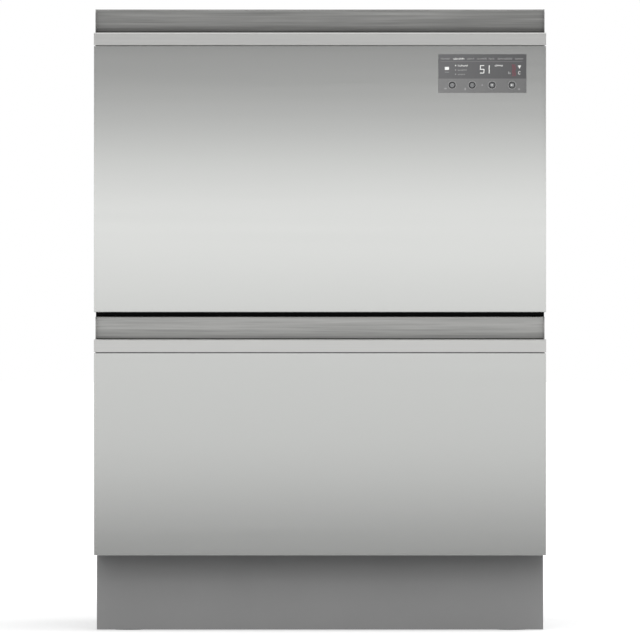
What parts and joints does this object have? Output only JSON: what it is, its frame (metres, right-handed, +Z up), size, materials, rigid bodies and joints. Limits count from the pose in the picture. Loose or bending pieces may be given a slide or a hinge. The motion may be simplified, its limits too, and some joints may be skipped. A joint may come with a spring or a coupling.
{
  "type": "drawer dishwasher",
  "caption": "Built-in dishwasher with stacked pull-out drawers, each with a tub, rack, spray arm and closing lid behind a stainless front with a recessed grip rail.",
  "frame": {"origin": "on the floor, under the centre of the machine's bounding box", "axes": "+X to the right seen from the front, drawer fronts face -Y and pull out along -Y, +Z up"},
  "size_m": [0.599, 0.5746, 0.825],
  "materials": {
    "stainless_front": "fine horizontal brushing, satin",
    "galvanised_sheet": "galvanised, dull spangle",
    "zinc_runner": "zinc plated, satin",
    "black_trim": "matt black powder coat",
    "kick_paint": "satin mid-grey paint",
    "screw_steel": "zinc plated pan heads",
    "foot_plastic": "moulded nylon",
    "fascia_window": "smoked gloss window with a satin lower band",
    "button_plastic": "gloss moulded, dark ring",
    "control_housing": "moulded ABS",
    "tub_plastic": "moulded polypropylene, fine texture",
    "lid_plastic": "moulded polypropylene, fine texture",
    "seal_rubber": "soft black lip seal",
    "arm_plastic": "glass-filled nylon",
    "filter_steel": "perforated stainless plate",
    "filter_plastic": "moulded polypropylene",
    "spray_plastic": "moulded polypropylene",
    "motor_plastic": "overmoulded stator",
    "basket_wire": "nylon-coated wire",
    "tine_coat": "nylon-coated wire, blue grey",
    "cutlery_plastic": "moulded polypropylene",
    "dispenser_plastic": "moulded polypropylene",
    "cap_plastic": "blue moulded cap",
    "valve_plastic": "white moulded nylon",
    "service_plastic": "moulded polypropylene"
  },
  "bodies": {
    "chassis": {"left_side_panel": "galvanised_sheet", "right_side_panel": "galvanised_sheet", "rear_panel": "galvanised_sheet", "top_panel": "galvanised_sheet", "base_pan": "galvanised_sheet", "front_trim": "black_trim", "leg_beams": "galvanised_sheet", "kick_strip": "kick_paint", "chassis_runners": "zinc_runner", "lid_actuators": "arm_plastic", "service_panel": "service_plastic", "inlet_valve": "valve_plastic", "screws": "screw_steel"},
    "feet": {"levelling_feet": "foot_plastic"},
    "upper_drawer": {"upper_front_panel": "stainless_front", "upper_handle": "stainless_front", "upper_front_plate": "galvanised_sheet", "upper_tub": "tub_plastic", "upper_drawer_runners": "zinc_runner", "upper_filter_plate": "filter_steel", "upper_pump_motor": "motor_plastic", "upper_basket": "basket_wire", "upper_cutlery_basket": "cutlery_plastic", "upper_dispenser": "dispenser_plastic", "display_fascia": "fascia_window", "control_module": "control_housing"},
    "upper_middle_runners": {"upper_middle_runners": "zinc_runner"},
    "upper_spray_arm": {"upper_spray_arm": "spray_plastic"},
    "upper_drain_filter": {"upper_drain_filter": "filter_plastic"},
    "upper_tine_row": {"upper_tine_row": "tine_coat"},
    "upper_cup_rack": {"upper_cup_rack": "tine_coat"},
    "upper_detergent_door": {"upper_detergent_door": "dispenser_plastic"},
    "upper_rinse_cap": {"upper_rinse_cap": "cap_plastic"},
    "upper_lid": {"upper_lid": "lid_plastic", "upper_lid_seal": "seal_rubber"},
    "upper_lid_arms": {"upper_lid_arms": "arm_plastic"},
    "lower_drawer": {"lower_front_panel": "stainless_front", "lower_handle": "stainless_front", "lower_front_plate": "galvanised_sheet", "lower_tub": "tub_plastic", "lower_drawer_runners": "zinc_runner", "lower_filter_plate": "filter_steel", "lower_pump_motor": "motor_plastic", "lower_basket": "basket_wire", "lower_cutlery_basket": "cutlery_plastic", "lower_dispenser": "dispenser_plastic"},
    "lower_middle_runners": {"lower_middle_runners": "zinc_runner"},
    "lower_spray_arm": {"lower_spray_arm": "spray_plastic"},
    "lower_drain_filter": {"lower_drain_filter": "filter_plastic"},
    "lower_tine_row": {"lower_tine_row": "tine_coat"},
    "lower_cup_rack": {"lower_cup_rack": "tine_coat"},
    "lower_detergent_door": {"lower_detergent_door": "dispenser_plastic"},
    "lower_rinse_cap": {"lower_rinse_cap": "cap_plastic"},
    "lower_lid": {"lower_lid": "lid_plastic", "lower_lid_seal": "seal_rubber"},
    "lower_lid_arms": {"lower_lid_arms": "arm_plastic"},
    "button_power": {"button_power": "button_plastic"},
    "button_programme": {"button_programme": "button_plastic"},
    "button_option": {"button_option": "button_plastic"},
    "button_start": {"button_start": "button_plastic"}
  },
  "joints": [
    {"name": "feet_height", "type": "slide", "parent": "chassis", "child": "feet", "axis": [0, 0, -1], "range_m": [0, 0.055]},
    {"name": "upper_drawer_slide", "type": "slide", "parent": "chassis", "child": "upper_drawer", "axis": [0, -1, 0], "range_m": [0, 0.5]},
    {"name": "upper_runner_slide", "type": "slide", "parent": "chassis", "child": "upper_middle_runners", "axis": [0, -1, 0], "range_m": [0, 0.25]},
    {"name": "upper_spray_spin", "type": "hinge", "parent": "upper_drawer", "child": "upper_spray_arm", "pos_m": [0, -0.0084, 0.555], "axis": [0, 0, 1], "continuous": true},
    {"name": "upper_filter_turn", "type": "hinge", "parent": "upper_drawer", "child": "upper_drain_filter", "pos_m": [0.056, -0.0084, 0.533], "axis": [0, 0, 1], "range_deg": [0, 90]},
    {"name": "upper_tine_fold", "type": "hinge", "parent": "upper_drawer", "child": "upper_tine_row", "pos_m": [-0.06, -0.0084, 0.5895], "axis": [0, 1, 0], "range_deg": [0, 85]},
    {"name": "upper_cup_rack_fold", "type": "hinge", "parent": "upper_drawer", "child": "upper_cup_rack", "pos_m": [-0.2498, 0.0016, 0.684], "axis": [0, -1, 0], "range_deg": [0, 85]},
    {"name": "upper_detergent_door_hinge", "type": "hinge", "parent": "upper_drawer", "child": "upper_detergent_door", "pos_m": [-0.058, -0.2285, 0.7], "axis": [-1, 0, 0], "range_deg": [0, 90]},
    {"name": "upper_rinse_cap_turn", "type": "hinge", "parent": "upper_drawer", "child": "upper_rinse_cap", "pos_m": [0.028, -0.228, 0.723], "axis": [0, 1, 0], "range_deg": [0, 90]},
    {"name": "upper_lid_close", "type": "slide", "parent": "chassis", "child": "upper_lid", "axis": [0, 0, -1], "range_m": [0, 0.0085]},
    {"name": "upper_lid_arm_swing", "type": "hinge", "parent": "chassis", "child": "upper_lid_arms", "pos_m": [0, 0.0598, 0.79175], "axis": [1, 0, 0], "range_deg": [0, 11]},
    {"name": "lower_drawer_slide", "type": "slide", "parent": "chassis", "child": "lower_drawer", "axis": [0, -1, 0], "range_m": [0, 0.5]},
    {"name": "lower_runner_slide", "type": "slide", "parent": "chassis", "child": "lower_middle_runners", "axis": [0, -1, 0], "range_m": [0, 0.25]},
    {"name": "lower_spray_spin", "type": "hinge", "parent": "lower_drawer", "child": "lower_spray_arm", "pos_m": [0, -0.0084, 0.195], "axis": [0, 0, 1], "continuous": true},
    {"name": "lower_filter_turn", "type": "hinge", "parent": "lower_drawer", "child": "lower_drain_filter", "pos_m": [0.056, -0.0084, 0.173], "axis": [0, 0, 1], "range_deg": [0, 90]},
    {"name": "lower_tine_fold", "type": "hinge", "parent": "lower_drawer", "child": "lower_tine_row", "pos_m": [-0.06, -0.0084, 0.2295], "axis": [0, 1, 0], "range_deg": [0, 85]},
    {"name": "lower_cup_rack_fold", "type": "hinge", "parent": "lower_drawer", "child": "lower_cup_rack", "pos_m": [-0.2498, 0.0016, 0.324], "axis": [0, -1, 0], "range_deg": [0, 85]},
    {"name": "lower_detergent_door_hinge", "type": "hinge", "parent": "lower_drawer", "child": "lower_detergent_door", "pos_m": [-0.058, -0.2285, 0.34], "axis": [-1, 0, 0], "range_deg": [0, 90]},
    {"name": "lower_rinse_cap_turn", "type": "hinge", "parent": "lower_drawer", "child": "lower_rinse_cap", "pos_m": [0.028, -0.228, 0.363], "axis": [0, 1, 0], "range_deg": [0, 90]},
    {"name": "lower_lid_close", "type": "slide", "parent": "chassis", "child": "lower_lid", "axis": [0, 0, -1], "range_m": [0, 0.0085]},
    {"name": "lower_lid_arm_swing", "type": "hinge", "parent": "chassis", "child": "lower_lid_arms", "pos_m": [0, 0.0598, 0.43175], "axis": [1, 0, 0], "range_deg": [0, 11]},
    {"name": "button_power_press", "type": "slide", "parent": "upper_drawer", "child": "button_power", "axis": [0, 1, 0], "range_m": [0, 0.0008], "stiffness_N_per_m": 400},
    {"name": "button_programme_press", "type": "slide", "parent": "upper_drawer", "child": "button_programme", "axis": [0, 1, 0], "range_m": [0, 0.0008], "stiffness_N_per_m": 400},
    {"name": "button_option_press", "type": "slide", "parent": "upper_drawer", "child": "button_option", "axis": [0, 1, 0], "range_m": [0, 0.0008], "stiffness_N_per_m": 400},
    {"name": "button_start_press", "type": "slide", "parent": "upper_drawer", "child": "button_start", "axis": [0, 1, 0], "range_m": [0, 0.0008], "stiffness_N_per_m": 400}
  ],
  "couplings": [
    {"joint": "upper_runner_slide", "follows": "upper_drawer_slide", "ratio": 0.5},
    {"joint": "upper_lid_arm_swing", "follows": "upper_lid_close", "rad_per_m": 22.26},
    {"joint": "lower_runner_slide", "follows": "lower_drawer_slide", "ratio": 0.5},
    {"joint": "lower_lid_arm_swing", "follows": "lower_lid_close", "rad_per_m": 22.26}
  ]
}
